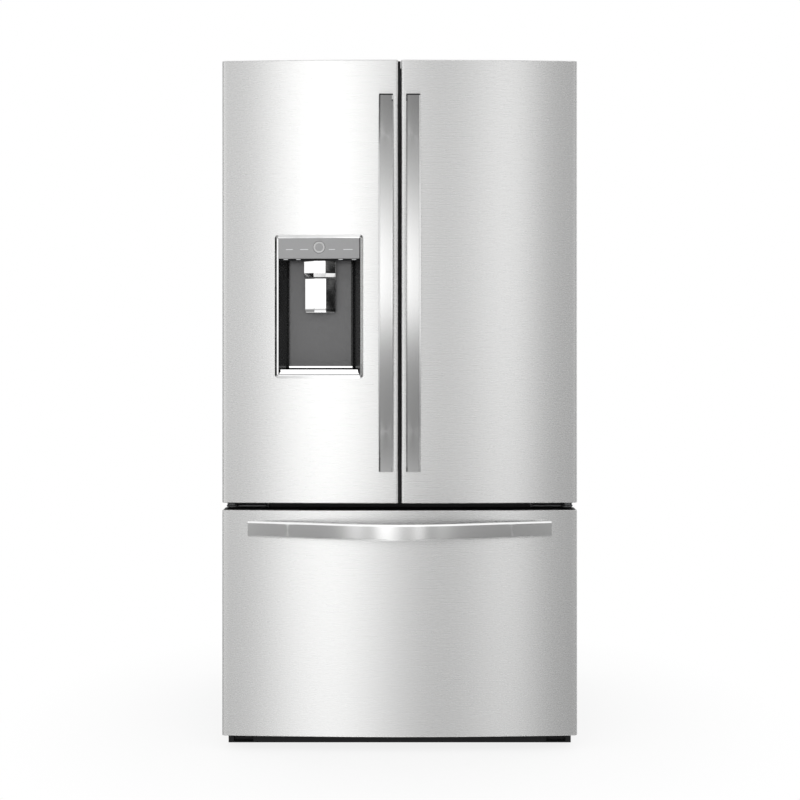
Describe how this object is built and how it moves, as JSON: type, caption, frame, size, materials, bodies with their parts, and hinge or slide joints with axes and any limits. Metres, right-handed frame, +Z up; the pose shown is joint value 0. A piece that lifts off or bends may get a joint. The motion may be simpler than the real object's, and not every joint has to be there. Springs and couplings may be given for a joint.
{
  "type": "french door refrigerator",
  "caption": "Free-standing refrigerator with curved french doors over a pull-out freezer drawer, bowed bar handles and an ice and water dispenser in the left door.",
  "frame": {"origin": "on the floor, under the middle of the overall width and depth", "axes": "+Z up, the doors face -Y, +X is to the right of someone facing the doors"},
  "size_m": [0.908, 0.898, 1.762],
  "materials": {
    "stainless": "brushed",
    "polished": "polished",
    "case_paint": "textured satin",
    "liner": "satin",
    "gasket": "matt",
    "dark_plastic": "matt",
    "panel": "satin metallic",
    "recess": "satin metallic",
    "clear_plastic": "clear",
    "shelf_glass": "clear",
    "zinc": "zinc plated",
    "black_enamel": "satin",
    "coil": "bare"
  },
  "bodies": {
    "cabinet": {"cabinet_case": "case_paint", "fridge_liner": "liner", "freezer_liner": "liner", "base_pan": "zinc", "rear_cover": "zinc", "compressor": "black_enamel", "condenser_coil": "coil", "base_grille": "dark_plastic", "levelling_leg_left": "zinc", "levelling_leg_right": "zinc", "top_hinge_left": "zinc", "top_hinge_right": "zinc", "hinge_cover_left": "dark_plastic", "hinge_cover_right": "dark_plastic", "centre_hinge_left": "zinc", "centre_hinge_right": "zinc", "air_duct": "liner", "upper_shelf_left": "shelf_glass", "upper_shelf_right": "shelf_glass", "middle_shelf": "shelf_glass", "crisper_shelf": "shelf_glass", "evaporator_cover": "liner", "evaporator_coil": "coil", "outer_rail_left": "zinc", "outer_rail_right": "zinc"},
    "left_door": {"left_door_panel": "stainless", "left_door_liner": "liner", "left_door_gasket": "gasket", "left_door_handle": "stainless", "dispenser_bezel": "polished", "dispenser_recess": "recess", "control_panel": "panel", "dispenser_spout": "polished", "drip_tray": "polished", "ice_bin": "liner", "left_door_bin": "clear_plastic"},
    "right_door": {"right_door_panel": "stainless", "right_door_liner": "liner", "right_door_gasket": "gasket", "right_door_handle": "stainless", "right_bin_upper": "clear_plastic", "right_bin_lower": "clear_plastic"},
    "drawer": {"drawer_panel": "stainless", "drawer_liner": "liner", "drawer_gasket": "gasket", "drawer_handle": "stainless", "drawer_frame": "zinc", "lower_basket": "clear_plastic"},
    "upper_basket": {"upper_basket": "clear_plastic"},
    "middle_rails": {"middle_rail_left": "zinc", "middle_rail_right": "zinc"},
    "pinion_shaft": {"pinion_shaft": "zinc"},
    "crisper_left": {"crisper_left": "clear_plastic"},
    "crisper_right": {"crisper_right": "clear_plastic"},
    "door_mullion": {"door_mullion": "dark_plastic"},
    "dispenser_paddle": {"dispenser_paddle": "polished"},
    "panel_button": {"panel_button": "polished"},
    "rear_roller_left": {"rear_roller_left": "dark_plastic"},
    "rear_roller_right": {"rear_roller_right": "dark_plastic"},
    "condenser_fan": {"condenser_fan": "dark_plastic"}
  },
  "joints": [
    {"name": "left_door_swing", "type": "hinge", "parent": "cabinet", "child": "left_door", "pos_m": [-0.43, -0.334, 0.631], "axis": [0, 0, -1], "range_deg": [0, 110]},
    {"name": "right_door_swing", "type": "hinge", "parent": "cabinet", "child": "right_door", "pos_m": [0.43, -0.334, 0.631], "axis": [0, 0, 1], "range_deg": [0, 110]},
    {"name": "drawer_slide", "type": "slide", "parent": "cabinet", "child": "drawer", "axis": [0, -1, 0], "range_m": [0, 0.42]},
    {"name": "middle_rails_slide", "type": "slide", "parent": "cabinet", "child": "middle_rails", "axis": [0, -1, 0], "range_m": [0, 0.21]},
    {"name": "pinion_spin", "type": "hinge", "parent": "drawer", "child": "pinion_shaft", "pos_m": [0, 0.165, 0.28], "axis": [1, 0, 0], "range_deg": [0, 1605]},
    {"name": "upper_basket_slide", "type": "slide", "parent": "drawer", "child": "upper_basket", "axis": [0, 1, 0], "range_m": [0, 0.115]},
    {"name": "crisper_left_slide", "type": "slide", "parent": "cabinet", "child": "crisper_left", "axis": [0, -1, 0], "range_m": [0, 0.09]},
    {"name": "crisper_right_slide", "type": "slide", "parent": "cabinet", "child": "crisper_right", "axis": [0, -1, 0], "range_m": [0, 0.09]},
    {"name": "mullion_fold", "type": "hinge", "parent": "left_door", "child": "door_mullion", "pos_m": [-0.036, -0.287, 0.664], "axis": [0, 0, -1], "range_deg": [0, 85]},
    {"name": "paddle_press", "type": "hinge", "parent": "left_door", "child": "dispenser_paddle", "pos_m": [-0.20449, -0.33894, 1.202], "axis": [-0.9996, 0.0299, 0], "range_deg": [0, 9], "stiffness_Nm_per_rad": 0.3, "springref_deg": -2.86},
    {"name": "button_press", "type": "slide", "parent": "left_door", "child": "panel_button", "axis": [0.0299, 0.9996, 0], "range_m": [0, 0.0015], "stiffness_N_per_m": 300},
    {"name": "rear_roller_left_spin", "type": "hinge", "parent": "cabinet", "child": "rear_roller_left", "pos_m": [-0.395, 0.395, 0.0195], "axis": [1, 0, 0], "continuous": true},
    {"name": "rear_roller_right_spin", "type": "hinge", "parent": "cabinet", "child": "rear_roller_right", "pos_m": [0.395, 0.395, 0.0195], "axis": [1, 0, 0], "continuous": true},
    {"name": "condenser_fan_spin", "type": "hinge", "parent": "cabinet", "child": "condenser_fan", "pos_m": [-0.07, 0.345, 0.16], "axis": [1, 0, 0], "continuous": true}
  ],
  "couplings": [
    {"joint": "middle_rails_slide", "follows": "drawer_slide", "ratio": 0.5},
    {"joint": "pinion_spin", "follows": "drawer_slide", "rad_per_m": 66.667}
  ]
}
